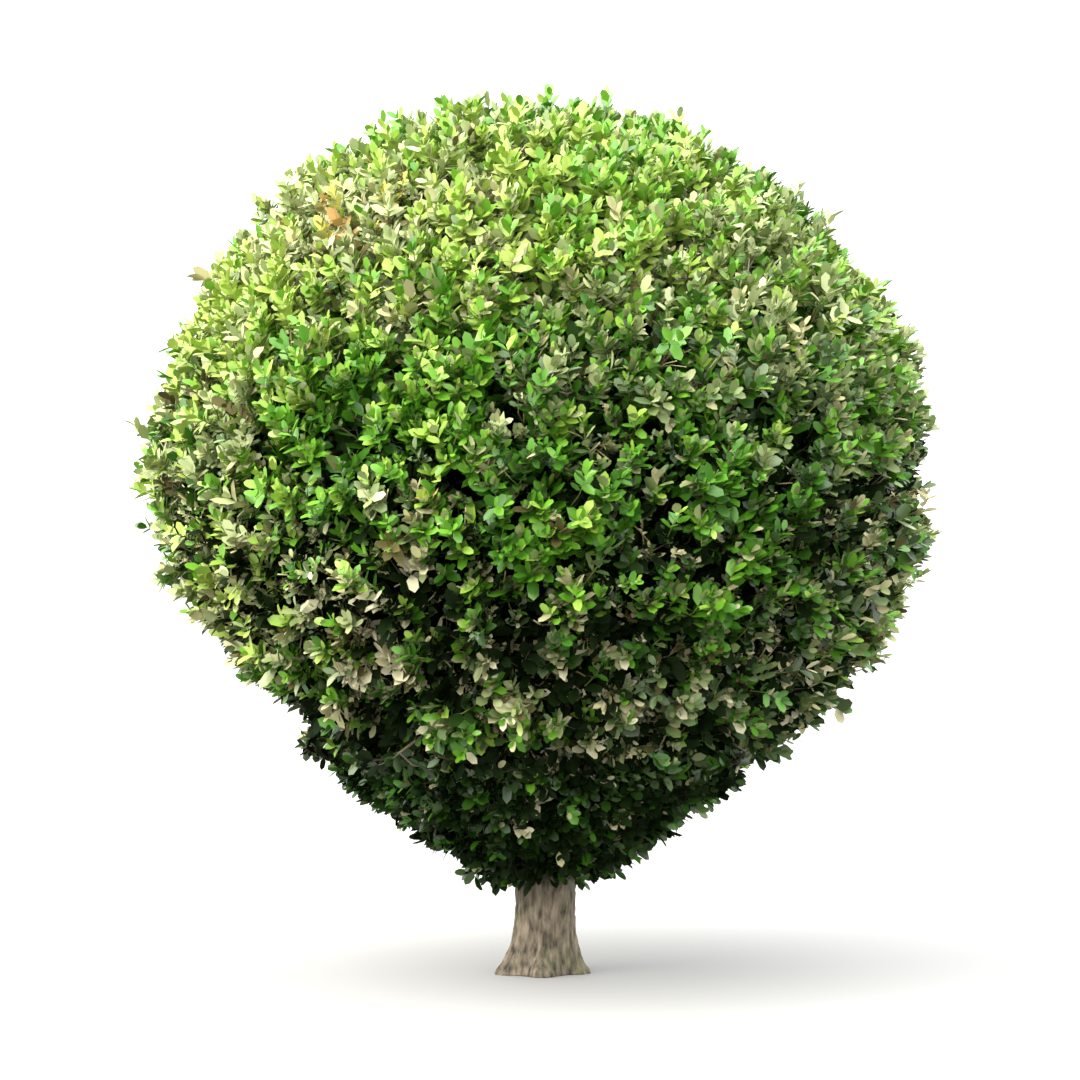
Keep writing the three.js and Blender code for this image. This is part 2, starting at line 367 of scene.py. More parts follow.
# Patches of the crown that look different from the rest
PATCHES = {
    # across, height and radius of each patch on the front, by kind
    "dead": (
        (-0.215, 0.462, 0.05), (-0.178, 0.505, 0.034), (-0.2, 0.405, 0.036), (-0.232, 0.356, 0.018),
        (-0.236, 0.308, 0.015), (0.043, 0.284, 0.034),
    ),
    "worn": (
        (0.1, 0.33, 0.07), (-0.25, 0.92, 0.12), (-0.43, 0.65, 0.09), (-0.38, 0.46, 0.09),
        (-0.29, 0.46, 0.07), (0.02, 0.74, 0.06), (0.38, 0.63, 0.09), (-0.06, 0.9, 0.07),
        (0.31, 0.43, 0.055), (0, 0.4, 0.08), (-0.14, 0.56, 0.06),
    ),
    "grey": (
        (0.36, 0.73, 0.07), (0.225, 0.37, 0.06), (0.25, 0.88, 0.12), (0.31, 0.76, 0.11),
        (0.08, 0.8, 0.09),
    ),
    "lush": (
        (-0.24, 0.72, 0.11), (-0.02, 0.59, 0.1), (0.255, 0.555, 0.11), (-0.09, 0.8, 0.08),
        (0.06, 0.96, 0.09), (0.1, 0.242, 0.026),
    ),
    "turning": ((-0.27, 0.94, 0.06),),
    "pale": ((-0.034, 0.694, 0.018), (0.24, 0.54, 0.014), (0.045, 0.262, 0.016)),
}
# Behind, the same kinds come by noise: the seed of each, and how rare it is
PATCHES_BEHIND = {
    "dead": (31, 0.9), "worn": (32, 0.5), "grey": (33, 0.3),
    "lush": (34, 0.3), "turning": (36, 0.9), "pale": (37, 0.9),
}
PATCH_LENGTH = 0.2
PATCH_GAIN = 1.5
SIDE_BLEND = 0.075

# How much each kind of patch adds to a quality of the sprays in it
PATCH_VIGOUR = {"lush": 0.35, "worn": -0.3, "dead": -0.6}
PATCH_STUBS = {"worn": 0.45, "dead": 1.0, "lush": -0.35}
PATCH_SIZE = {"dead": 0.1, "lush": 0.08, "grey": -0.08}
PATCH_TONE = {"grey": -0.07, "lush": -0.07, "pale": 0.3}
PATCH_GREYNESS = {"grey": 0.4, "worn": 0.4, "lush": -0.45, "pale": 1.0}
PATCH_DRYNESS = {"worn": 0.06, "dead": 0.75}


def turned_away(points):
    """0 on the front half of the ball and 1 on the back half, with a soft change between."""
    return ramp(points[:, 1], -SIDE_BLEND, SIDE_BLEND)


def patch_strength(points, kind):
    """How strongly a kind of patch shows: the named ones in front, soft noise behind."""
    seed, rarity = PATCHES_BEHIND[kind]
    behind = np.clip(PATCH_GAIN * soft_noise(points, PATCH_LENGTH, seed) - rarity, 0, 1)
    front = np.zeros(len(points))
    for place in PATCHES[kind]:
        front = np.maximum(front, np.exp(-gaps_from(place, points) ** 2))
    turned = turned_away(points)
    return front * (1 - turned) + behind * turned


def patch_effect(points, weights):
    """What all kinds of patch together add to a quality."""
    return sum(weight * patch_strength(points, kind) for kind, weight in weights.items())


# Sprays: one to each twig. A fresh one stands proud of the clipped ones.
VIGOUR = 0.46
VIGOUR_RISE = 0.32
VIGOUR_CHANGE = 0.35
VIGOUR_NOISE = (0.15, 21)
FRESH_SHARES = (0.1, 0.88)
SINK_SPREAD = 0.007
SINK_CHANGE = 0.004
SINK_NOISE = (0.05, 23)

spray_vigour = VIGOUR + VIGOUR_RISE * high_on_ball(twig_outline)
spray_vigour += VIGOUR_CHANGE * soft_noise(twig_outline, *VIGOUR_NOISE)
spray_vigour += patch_effect(twig_outline, PATCH_VIGOUR)
spray_fresh = rng.random(len(twigs)) < np.clip(spray_vigour, *FRESH_SHARES)
spray_sink = rng.normal(0, SINK_SPREAD, len(twigs))
spray_sink -= SINK_CHANGE * soft_noise(twig_outline, *SINK_NOISE)
spray_tone = rng.normal(0, 1, len(twigs))

# Shoots: the last order, gathered into the sprays that their twigs carry. Here and below, a
# pair of values is for fresh shoots and for clipped ones.
SHOOT_COUNT = 15400
SHOOT_JITTER = 0.42
SHOOT_THICKNESS = 0.00078
# How a kind grows: the wander and the upward turn of its tips, the least share of the
# parent's length, how far back it forks, points on a curve
SHOOT_GROWTH = (0.24, 0, 0.25, 0.036, 3)
SPRAY_PULL = 0.34
SPRAY_HALF_WIDTH = 0.015
STRAY_SHARE = 0.12
SHOOT_DEPTHS = (0.0095, 0.0215)
SPRAY_CROWN = 0.0045
DEPTH_SPREAD = 0.0032
HOLLOW_DEPTH = 0.055
LEGGY_SHARE = 0.11
LEGGY_GROWTH = (0.006, 0.024)
MOST_PROUD = 0.015
SHOOT_RISES = (0.62, 0.25)
SPRAY_FAN = 0.42
HOLLOW_MISSING = 0.88
DEAD_MISSING = 0.3

shoot_outline = crown_outline(even_directions(SHOOT_COUNT, SHOOT_JITTER))
spray = nearest(shoot_outline, twig_outline)
shoot_outline += SPRAY_PULL * (twig_outline[spray] - shoot_outline)
outward = unit(shoot_outline - SHOOT_CENTRE)
fan = (shoot_outline - twig_outline[spray]) / SPRAY_HALF_WIDTH
stray = rng.random(SHOOT_COUNT) < STRAY_SHARE
fresh = np.where(stray, ~spray_fresh[spray], spray_fresh[spray])
hollow = in_hollows(shoot_outline)
depth = np.where(fresh, *SHOOT_DEPTHS) + spray_sink[spray]
depth += SPRAY_CROWN * np.linalg.norm(fan, axis=1)
depth += rng.normal(0, DEPTH_SPREAD, SHOOT_COUNT) + HOLLOW_DEPTH * hollow
leggy = fresh & (rng.random(SHOOT_COUNT) < LEGGY_SHARE)
depth = np.where(leggy, depth - rng.uniform(*LEGGY_GROWTH, SHOOT_COUNT), depth)
depth = np.maximum(depth, -MOST_PROUD)
shoot_tips = shoot_outline - outward * depth[:, None]
rise = np.where(fresh, *SHOOT_RISES)[:, None]
shoot_ways = outward + rise * UP + SPRAY_FAN * fan
shoots, shoot_owner = grow(twigs, shoot_tips, shoot_ways, *SHOOT_GROWTH)
missing = HOLLOW_MISSING * hollow + DEAD_MISSING * patch_strength(shoot_outline, "dead")
kept = rng.random(SHOOT_COUNT) > missing
shoots, shoot_owner, fresh, outward, shoot_outline, spray = (
    array[kept] for array in (shoots, shoot_owner, fresh, outward, shoot_outline, spray)
)
owners.append(shoot_owner)

# Stubs: bare ends of twigs, pale where they were clipped
STUB_COUNT = 5200
STUB_JITTER = 0.9
STUB_CHANCE = 0.28
STUB_DEPTHS = (0.012, 0.03)
STUB_HOLLOW_DEPTH = 0.03
STUB_GROWTH = (0.45, 0.2, 0.25, 0.022, 3)

stub_outline = crown_outline(even_directions(STUB_COUNT, STUB_JITTER))
stub_chance = STUB_CHANCE + patch_effect(stub_outline, PATCH_STUBS)
stub_outline = stub_outline[rng.random(STUB_COUNT) < stub_chance]
stub_out = unit(stub_outline - SHOOT_CENTRE)
stub_depth = rng.uniform(*STUB_DEPTHS, len(stub_outline))
stub_depth += STUB_HOLLOW_DEPTH * in_hollows(stub_outline)
stub_tips = stub_outline - stub_out * stub_depth[:, None]
stubs = grow(twigs, stub_tips, stub_out, *STUB_GROWTH)[0]

# Foot: twigs and shoots of the loose low growth between the ball and the stem
FOOT_LOW = 0.112
FOOT_HIGH = 0.276
FOOT_CROWDING = 0.65
FOOT_DROOP = 0.35
FOOT_TWIG_COUNT = 190
FOOT_TWIG_DEPTH = 0.04
FOOT_TWIG_GROWTH = (0.3, 0, 0, 0.06, 6)
FOOT_SHOOT_COUNT = 1700
FOOT_SHOOT_DEPTHS = (0.002, 0.045)
FOOT_SHOOT_GROWTH = (0.4, 0.45, 0.4, 0.04, 3)


def foot_outline(count):
    """Places on the foot's outside, closer together near its wide rim, and the ways out."""
    turn = rng.random(count) * 2 * math.pi
    height = FOOT_LOW + (FOOT_HIGH - FOOT_LOW) * rng.random(count) ** FOOT_CROWDING
    flat = np.stack([np.cos(turn), np.sin(turn), np.zeros(count)], axis=1)
    places, found = cast(foot_skin, flat + height[:, None] * UP, -flat)
    return places[found], unit(flat[found] - FOOT_DROOP * UP)


foot_places, foot_ways = foot_outline(FOOT_TWIG_COUNT)
foot_tips = foot_places - foot_ways * FOOT_TWIG_DEPTH
foot_twigs = grow(boughs, foot_tips, foot_ways, *FOOT_TWIG_GROWTH)[0]
foot_places, foot_ways = foot_outline(FOOT_SHOOT_COUNT)
foot_depth = rng.uniform(*FOOT_SHOOT_DEPTHS, len(foot_places))
foot_tips = foot_places - foot_ways * foot_depth[:, None]
foot_shoots = grow(foot_twigs, foot_tips, foot_ways, *FOOT_SHOOT_GROWTH)[0]
foot_count = len(foot_shoots)

# Thickness: a branch is as thick as this power of the number of shoots that it carries
PIPE_POWER = 0.36

carried = [np.ones(len(shoots))]
for owner, order in zip(reversed(owners), reversed(orders)):
    load = np.zeros(len(order))
    np.add.at(load, owner, carried[0])
    carried.insert(0, np.maximum(load, 1))
thickness = [SHOOT_THICKNESS * load**PIPE_POWER for load in carried]


# Meshes from arrays
def between_rings(length, sides):
    """Corners of the four-sided faces between neighbouring rings of points."""
    for low in range(0, (length - 1) * sides, sides):
        high = low + sides
        for here in range(sides):
            following = (here + 1) % sides
            yield low + here, low + following, high + following, high + here


def tubes(curves, start_radii, end_radii, sides, pointed=False):
    """Tapered tubes along curves. Their far ends are closed flat or run out to a point."""
    total, length = curves.shape[:2]
    ways = unit(np.gradient(curves, axis=1))
    side = np.cross(ways[:, 0], rng.normal(0, 1, (total, 3)))[:, None]
    side = unit(side - ways * (side * ways).sum(-1, keepdims=True))
    other = np.cross(ways, side)
    share = np.linspace(0, 1, length)[None, :, None]
    radii = start_radii[:, None, None] * (1 - share) + end_radii[:, None, None] * share
    angle = np.arange(sides) / sides * 2 * math.pi
    rings = (
        curves[:, :, None]
        + side[:, :, None] * (np.cos(angle)[:, None] * radii[..., None])
        + other[:, :, None] * (np.sin(angle)[:, None] * radii[..., None])
    )
    pattern = []
    for a, b, c, d in between_rings(length - 1 if pointed else length, sides):
        pattern += [(a, b, c), (a, c, d)]
    places = rings.reshape(total, length * sides, 3)
    if pointed:
        last = (length - 2) * sides
        places = np.concatenate([places[:, :last + sides], curves[:, -1:]], axis=1)
        for here in range(sides):
            pattern.append((last + here, last + (here + 1) % sides, last + sides))
    else:
        last = (length - 1) * sides
        for here in range(1, sides - 1):
            pattern.append((last, last + here, last + here + 1))
    faces = np.array(pattern)[None] + (np.arange(total) * places.shape[1])[:, None, None]
    return places.reshape(-1, 3), faces.reshape(-1, 3), len(pattern)


# Leaf outlines: along and across of each corner, then the faces between them
WHOLE_LEAF = (
    (
        (0.5, 0), (0, 0), (0.22, -0.7), (0.58, -1.0), (0.9, -0.62),
        (1.0, 0), (0.9, 0.62), (0.58, 1.0), (0.22, 0.7),
    ),
    tuple((0, 1 + (step + 1) % 8, 1 + step) for step in range(8)),
)
PLAIN_LEAF = (
    ((0, 0), (0.34, -0.92), (0.8, -0.8), (1.0, 0), (0.8, 0.8), (0.34, 0.92)),
    ((0, 2, 1), (0, 3, 2), (0, 4, 3), (0, 5, 4)),
)
CUT_LEAF = (
    ((0.34, 0), (0, 0), (0.24, -0.74), (0.5, -0.98), (0.66, 0.94), (0.26, 0.76)),
    ((0, 2, 1), (0, 3, 2), (0, 4, 3), (0, 5, 4), (0, 1, 5)),
)


def leaf_blades(shape, leaves):
    """Leaf meshes of one shape, bent along their length and folded along the midrib."""
    corners, pattern = shape
    along, across = (np.array(places)[None, :, None] for places in zip(*corners))
    length = leaves["length"][:, None, None]
    half = length * leaves["width"][:, None, None] / 2
    lift = -leaves["bend"][:, None, None] * along**2 * length
    lift = lift + leaves["fold"][:, None, None] * np.abs(across) * half
    side = np.cross(leaves["up"], leaves["way"])
    places = (
        leaves["seat"][:, None]
        + leaves["way"][:, None] * along * length
        + side[:, None] * across * half
        + leaves["up"][:, None] * lift
    )
    total = len(places)
    faces = np.array(pattern)[None] + (np.arange(total) * len(corners))[:, None, None]
    return places.reshape(-1, 3), faces.reshape(-1, 3), len(pattern)


# Leaves: opposite pairs along each shoot, every pair a quarter turn on from the one before
LIGHT_WAY = unit(np.array([-0.68, -0.3, 0.67]))
LEAF_LENGTH = 0.021
# Mean, spread, least and most
LENGTH_CHANGE = (1, 0.15, 0.6, 1.4)
TIP_LEAF_SHARE = 0.8
LEAF_WIDTH = (0.55, 0.05, 0.42, 0.7)
LEAF_BEND = (0.1, 0.1)
LEAF_FOLD = (0.14, 0.2)
PAIR_SPACING = 0.0074
FURTHEST_BACK = 0.97
TURN_WANDER = 0.28
OPENING = 27
OPENING_STEP = 16
WIDEST_PAIR = 2.6
OPENING_LIMITS = (0.12, 1.8)
LEAF_RISE = 0.16
LEAF_OUT = 0.12
LIGHT_PULL = 0.8
UP_MESS = 0.6
SIDE_HELPER = np.array([0.31, 0.24, 0.92])
# The turn of a shoot's leaves is worked out from where its tip is
TURN_MIX = np.array([912.3, 733.1, 511.7])
TURN_STIR = 43758.5


def leaves_on(curves, outs, pair, size, tip_gap, mess):
    """One pair of opposite leaves on each shoot, counted back from its tip."""
    total = len(curves)
    span = np.linalg.norm(np.diff(curves, axis=1), axis=2).sum(axis=1)
    back = np.clip((pair * PAIR_SPACING * size + tip_gap) / span, 0, FURTHEST_BACK)
    t = (1 - back) * (curves.shape[1] - 1)
    low = np.minimum(t.astype(int), curves.shape[1] - 2)
    part = (t - low)[:, None]
    rows = np.arange(total)
    seats = curves[rows, low] * (1 - part) + curves[rows, low + 1] * part
    axis = unit(curves[:, -1] - curves[:, -2])
    turn = np.sin(curves[:, -1] @ TURN_MIX) * TURN_STIR % (2 * math.pi) + pair * math.pi / 2
    side = unit(np.cross(axis, SIDE_HELPER))
    other = np.cross(axis, side)
    opening = math.radians(OPENING + OPENING_STEP * min(pair, WIDEST_PAIR))
    grown = TIP_LEAF_SHARE if pair == 0 else 1.0
    batches = []
    for half in (0, math.pi):
        angle = (turn + half + rng.normal(0, TURN_WANDER, total))[:, None]
        open_angle = opening + mess * rng.normal(0, 1, total)
        open_angle = np.clip(open_angle, *OPENING_LIMITS)[:, None]
        flat = side * np.cos(angle) + other * np.sin(angle)
        way = unit(axis * np.cos(open_angle) + flat * np.sin(open_angle))
        way = unit(way + LEAF_RISE * UP + LEAF_OUT * outs)
        up = axis + LIGHT_PULL * LIGHT_WAY
        up = up + rng.normal(0, 1, way.shape) * np.reshape(UP_MESS * mess, (-1, 1))
        up = unit(up - way * (up * way).sum(axis=1, keepdims=True))
        batches.append({
            "seat": seats,
            "way": way,
            "up": up,
            "length": LEAF_LENGTH * grown * size * drawn(total, *LENGTH_CHANGE),
            "width": drawn(total, *LEAF_WIDTH),
            "bend": rng.normal(*LEAF_BEND, total),
            "fold": rng.normal(*LEAF_FOLD, total),
            "row": rows,
        })
    return {key: np.concatenate([batch[key] for batch in batches]) for key in batches[0]}


def picked(leaves, rows):
    return {key: value[rows] for key, value in leaves.items()}


# Materials
def from_display(colour):
    """A colour as seen on a display, as the linear values that a shader takes."""
    seen = np.array(colour)
    linear = np.where(seen <= 0.04045, seen / 12.92, ((seen + 0.055) / 1.055) ** 2.4)
    return (*linear, 1.0)


def plain_material(name, colour, roughness, specular):
    material = bpy.data.materials.new(name)
    material.use_nodes = True
    shader = material.node_tree.nodes["Principled BSDF"]
    shader.inputs["Base Color"].default_value = from_display(colour)
    shader.inputs["Roughness"].default_value = roughness
    shader.inputs["Specular IOR Level"].default_value = specular
    return material


def add_node(tree, kind, inputs=None):
    """A new node with some of its inputs set."""
    node = tree.nodes.new(kind)
    for name, value in (inputs or {}).items():
        node.inputs[name].default_value = value
    return node


def plain_materials(kind, colours, shine):
    return [plain_material(f"{kind}_{name}", colour, *shine) for name, colour in colours.items()]


# Leaf colours, as seen: two runs from dark to light, then the dry ones and deep_shade, a near-black
# green that is painted shade
GREENS = {
    "black_green": (0.13, 0.225, 0.05),
    "dark_green": (0.17, 0.32, 0.065),
    "deep_green": (0.23, 0.428, 0.085),
    "mid_green": (0.32, 0.543, 0.12),
    "fresh_green": (0.425, 0.645, 0.17),
    "bright_green": (0.57, 0.712, 0.262),
    "lime": (0.665, 0.752, 0.35),
    "pale_lime": (0.7, 0.765, 0.43),
}
GREYS = {
    "shade": (0.165, 0.21, 0.085),
    "bottle": (0.225, 0.3, 0.135),
    "blue_green": (0.3, 0.4, 0.215),
    "sage": (0.405, 0.49, 0.31),
    "olive": (0.48, 0.55, 0.325),
    "grey_olive": (0.605, 0.65, 0.43),
    "straw_green": (0.69, 0.73, 0.51),
    "pale_back": (0.72, 0.77, 0.565),
}
DRY_AND_SHADE = {
    "yellow": (0.83, 0.795, 0.42),
    "orange": (0.745, 0.62, 0.395),
    "tan": (0.71, 0.695, 0.52),
    "brown": (0.345, 0.325, 0.185),
    "cream": (0.83, 0.81, 0.665),
    # painted shade: a near-black green for leaves deep inside and under the ball
    "deep_shade": (0.07, 0.13, 0.02),
}
# Each of the two runs has this many colours
RUN = len(GREENS)
FIRST_DRY = 2 * RUN
YELLOW, ORANGE, TAN, BROWN, CREAM, SHADE = range(FIRST_DRY, FIRST_DRY + len(DRY_AND_SHADE))
DRY_MIX = (TAN, TAN, TAN, CREAM, CREAM, BROWN, BROWN)
# Roughness and specular level
LEAF_SHINE = (0.4, 0.6)
DRY_AND_SHADE_SHINE = (0.7, 0.12)
TWIG_SHINE = (0.7, 0.25)
leaf_materials = plain_materials("leaf", GREENS | GREYS, LEAF_SHINE)
leaf_materials += plain_materials("leaf", DRY_AND_SHADE, DRY_AND_SHADE_SHINE)

TWIG_COLOURS = {
    "green": (0.43, 0.5, 0.22),
    "tan": (0.54, 0.48, 0.32),
    "grey": (0.43, 0.405, 0.32),
    "pale_cut": (0.8, 0.765, 0.6),
    "dark": (0.23, 0.205, 0.135),
}
TWIG_GREEN, TWIG_TAN, TWIG_GREY, TWIG_CUT, TWIG_DARK = range(len(TWIG_COLOURS))
twig_materials = plain_materials("twig", TWIG_COLOURS, TWIG_SHINE)

# A spray's tone runs from 0, the dark end of a run of colours, to 1, its light end
TONE = 0.47
# Painted light and shade: sprays lighter towards the top of the ball and darker towards the bottom
PAINTED_LIGHT_RISE = 0.23
TONE_SPREAD = 0.085
TONE_SPREAD_DROP = 0.035
SPRAY_SHARE = 0.6
# Painted sunlight: sprays lighter towards the left of the front
PAINTED_SUN_LEFT = 0.08
FRESH_TONE = 0.04
FRESH_TONE_HIGH = 0.1
FRESH_TONE_LOW = 0.2
TONE_CHANGE = 0.06
TONE_NOISE = (0.11, 35)
# Painted light and shade by place: lighter on the sunlit left edge of the front, darker low on the
# ball and low on the left, where the ball is in shade, and darker on the top away from the front,
# which tones down the strong light from above
PAINTED_LIGHT_AND_SHADE = (
    # amount, then the stretches along which it sets in. "high" and "left" count in radii of
    # the ball from its middle, and "height" and "back" in metres.
    (0.16, ("left", 0.45, 0.75), ("back", SIDE_BLEND, -SIDE_BLEND)),
    (-0.07, ("high", 0.74, 0.94), ("back", -0.35, -0.15)),
    (-0.16, ("high", 0.45, 0.75), ("back", -0.22, -0.02)),
    (-0.1, ("height", 0.34, 0.24)),
    (-0.12, ("height", 0.42, 0.32), ("left", 0.3, 0.5)),
)
GREYNESS = (0.24, 0.68)
FRESH_DRYNESS = 0.006
OLD_DRYNESS = 0.05
SPECKLE_DRYNESS = 0.09
# Above this height, in radii of the ball, cream dry bits are dealt as tan, darker so they don't
# burn out to white in the strong light from above
CREAM_TOP = -0.2
DEAD_CREAM = 0.25
TURNING = 0.001
PATCH_TURNING = 0.1

SPECKLE_TOP = (0.62, 0.4)
SPECKLE_BOTTOM = (0.235, 0.335)
LEAST_SPECKLE = 0.15


def speckled(points):
    """From 0 to 1, how speckled with dry bits the crown is: most in a band low on the ball."""
    bottom = np.maximum(ramp(points[:, 2], *SPECKLE_BOTTOM), LEAST_SPECKLE)
    return ramp(points[:, 2], *SPECKLE_TOP) * bottom


def spray_tones(points, is_fresh, clump):
    """How light each shoot's colour is, as painted light and shade: light at the top and the left,
    dark low down.
    """
    high = high_on_ball(points)
    left = -points[:, 0] / BALL_RADIUS
    spread = TONE_SPREAD - TONE_SPREAD_DROP * high
    tone = TONE + PAINTED_LIGHT_RISE * high
    tone += spread * (SPRAY_SHARE * clump + rng.normal(0, 1, len(points)))
    # Painted sunlight on the left of the front
    tone += PAINTED_SUN_LEFT * left * (1 - turned_away(points))
    fresh_tone = FRESH_TONE + FRESH_TONE_HIGH * np.maximum(high, 0)
    fresh_tone += FRESH_TONE_LOW * np.clip(-high, 0, 1)
    tone += np.where(is_fresh, fresh_tone, -FRESH_TONE)
    tone += TONE_CHANGE * soft_noise(points, *TONE_NOISE)
    along = {"high": high, "left": left, "height": points[:, 2], "back": points[:, 1]}
    # Painted light and shade by place
    for amount, *stretches in PAINTED_LIGHT_AND_SHADE:
        tone += amount * math.prod(ramp(along[way], start, end) for way, start, end in stretches)
    return tone + patch_effect(points, PATCH_TONE)


def spray_colours(points, is_fresh, clump):
    """The colour of each shoot: its tone on the green or the grey run, or a dry colour."""
    total = len(points)
    tone = spray_tones(points, is_fresh, clump)
    rank = np.clip((tone * RUN).astype(int), 0, RUN - 1)
    greyness = np.where(is_fresh, *GREYNESS) + patch_effect(points, PATCH_GREYNESS)
    rank = np.where(rng.random(total) < greyness, rank + RUN, rank)
    old_dryness = OLD_DRYNESS + SPECKLE_DRYNESS * speckled(points)
    dryness = np.where(is_fresh, FRESH_DRYNESS, old_dryness) + patch_effect(points, PATCH_DRYNESS)
    dry = rng.choice(DRY_MIX, total)
    dry = np.where((dry == CREAM) & (high_on_ball(points) > CREAM_TOP), TAN, dry)
    bleached = DEAD_CREAM * patch_strength(points, "dead")
    dry = np.where(rng.random(total) < bleached, CREAM, dry)
    rank = np.where(rng.random(total) < dryness, dry, rank)
    turning = TURNING + PATCH_TURNING * patch_strength(points, "turning")
    return np.where(rng.random(total) < turning, rng.choice([YELLOW, ORANGE], total), rank)


# Leaf by leaf: steps along the run, paler backs and single dry leaves, then painted light and
# shade: deeper leaves are a step darker, as painted shade. On the side that the light comes from,
# deeper leaves are a step lighter instead, as painted light, while outer leaves are darker and none
# takes the lightest colour, which tones down the sunlit ones.
LEAF_STEP = 0.6
SPECKLE_STEP = 0.5
GREY_STEPS = (0, 0, 1, 1)
DEEP_PAIR = 2
LIT_ABOVE = WIDEST_HEIGHT + 0.2
LIT_LEFT_OF = -0.33
LIT_BEFORE = -0.05
BACK_SHOWS = -0.12
GREEN_BITS = (0.006, 0.09)
GREY_BITS = (0.05, 0.26)
CREAM_SPECKLE = 0.2


def leaf_ranks(leaves, spray_ranks, outs, pair):
    """Each leaf's colour: its spray's, a step lighter or darker, and paler where its back shows."""
    seats = leaves["seat"]
    rank = spray_ranks[leaves["row"]]
    run = np.minimum(rank // RUN, 2)
    speckle = speckled(seats)
    step = np.rint(rng.normal(0, LEAF_STEP + SPECKLE_STEP * speckle * (run == 1))).astype(int)
    lit = (seats[:, 2] > LIT_ABOVE) | (seats[:, 0] < LIT_LEFT_OF)
    lit &= seats[:, 1] < LIT_BEFORE
    # Painted shade on deeper leaves, a step darker; on the lit side painted light instead, a step
    # lighter
    if pair >= DEEP_PAIR:
        step += np.where(lit, 1, -1)
    # On the lit side the outer leaves are a step darker, against the full light
    if pair == 0:
        step -= lit
    step += np.where(run == 1, rng.choice(GREY_STEPS, len(rank)), 0)
    # On the lit side the lightest colour is left out, which tones down the sunlit leaves
    moved = np.clip(rank % RUN + step, 0, np.where(lit, RUN - 2, RUN - 1))
    back = (leaves["up"] * outs[leaves["row"]]).sum(axis=1) < BACK_SHOWS
    paler = np.clip(rank % RUN + 1, 0, RUN - 1) + RUN
    rank = np.where(run < 2, np.where(back, paler, moved + run * RUN), rank)
    bits = np.where(run == 1, *(base + more * speckle for base, more in (GREY_BITS, GREEN_BITS)))
    bit = rng.random(len(rank)) < bits
    dry = rng.choice(DRY_MIX, len(rank))
    dry = np.where((dry == CREAM) & (speckle < CREAM_SPECKLE), TAN, dry)
    return np.where(bit, dry, rank)


# Pieces
MOST_TRIANGLES = 190000
CROWN = ("crown_foliage",)
FOOT = ("foot_foliage",)
WOOD = ("stem", "bough_leader", *(f"bough_{index}" for index in range(1, BOUGH_COUNT)))


def hand_over(name, mesh, nodes):
    """Puts a mesh in the scene as a piece that stands for CAD nodes."""
    piece = put_in_scene(name, mesh)
    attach(piece, "root")
    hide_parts(*nodes)


def make_piece(name, places, faces, ranks, materials, slot, nodes):
    """A piece from arrays, with one material for each face."""
    mesh = bpy.data.meshes.new(name)
    mesh.vertices.add(len(places))
    mesh.vertices.foreach_set("co", places.astype(np.float32).ravel())
    mesh.loops.add(faces.size)
    mesh.loops.foreach_set("vertex_index", faces.astype(np.int32).ravel())
    mesh.polygons.add(len(faces))
    mesh.polygons.foreach_set("loop_start", np.arange(0, faces.size, 3, dtype=np.int32))
    used, local = np.unique(ranks, return_inverse=True)
    for rank in used:
        mesh.materials.append(materials[rank])
    mesh.polygons.foreach_set("material_index", local.astype(np.int32))
    mesh.update(calc_edges=True)
    mesh.shade_smooth()
    hand_over(name, mesh, nodes)


def split_by_turn(centres, weights):
    """Groups of rows by their turn round the stem, each under the most triangles."""
    parts = math.ceil(weights.sum() / MOST_TRIANGLES)
    ranked = np.argsort(np.arctan2(centres[:, 1], centres[:, 0]), kind="stable")
    share = np.cumsum(weights[ranked]) / weights.sum()
    for part in range(parts):
        yield ranked[(share > part / parts) & (share <= (part + 1) / parts)]


def make_leaves(name, groups, slot, nodes):
    """Pieces of leaves of one kind. groups pairs each leaf shape with its leaves."""
    counts = [len(leaves["rank"]) for shape, leaves in groups]
    weights = np.repeat([len(shape[1]) for shape, leaves in groups], counts)
    centres = np.concatenate([leaves["seat"] for shape, leaves in groups])
    edges = np.cumsum([0, *counts])
    for part, rows in enumerate(split_by_turn(centres, weights)):
        all_places, all_faces, all_ranks = [], [], []
        offset = 0
        for (shape, leaves), start, end in zip(groups, edges[:-1], edges[1:]):
            mine = np.sort(rows[(rows >= start) & (rows < end)] - start)
            chosen = picked(leaves, mine)
            places, faces, each = leaf_blades(shape, chosen)
            all_places.append(places)
            all_faces.append(faces + offset)
            all_ranks.append(np.repeat(chosen["rank"], each))
            offset += len(places)
        arrays = [np.concatenate(batch) for batch in (all_places, all_faces, all_ranks)]
        make_piece(f"{name}_{part + 1}", *arrays, leaf_materials, slot, nodes)


def make_tubes(name, curves, start, end, sides, rank, slot, nodes, pointed=False):
    places, faces, each = tubes(curves, start, end, sides, pointed)
    make_piece(name, places, faces, np.repeat(rank, each), twig_materials, slot, nodes)


# Leaves of the crown: whole ones on fresh shoots, more cut and lost ones on clipped shoots
FRESH_PAIRS = 5
OLD_PAIRS = 4
LEAF_SIZES = (0.9, 0.5)
SIZE_CHANGE = (1, 0.12, 0.7, 1.3)
OLD_TIP_GAP = 0.003
OLD_TIP_GAP_MORE = 0.004
MESS = (0.17, 0.38)
LOST_SHARES = (0.0, 0.1)
CUT_SHARES = (0.05, 0.45)
CURLED_SHARE = 0.1
CURLED_WHERE_DEAD = 0.3
CURLED_SIZE = 1.05

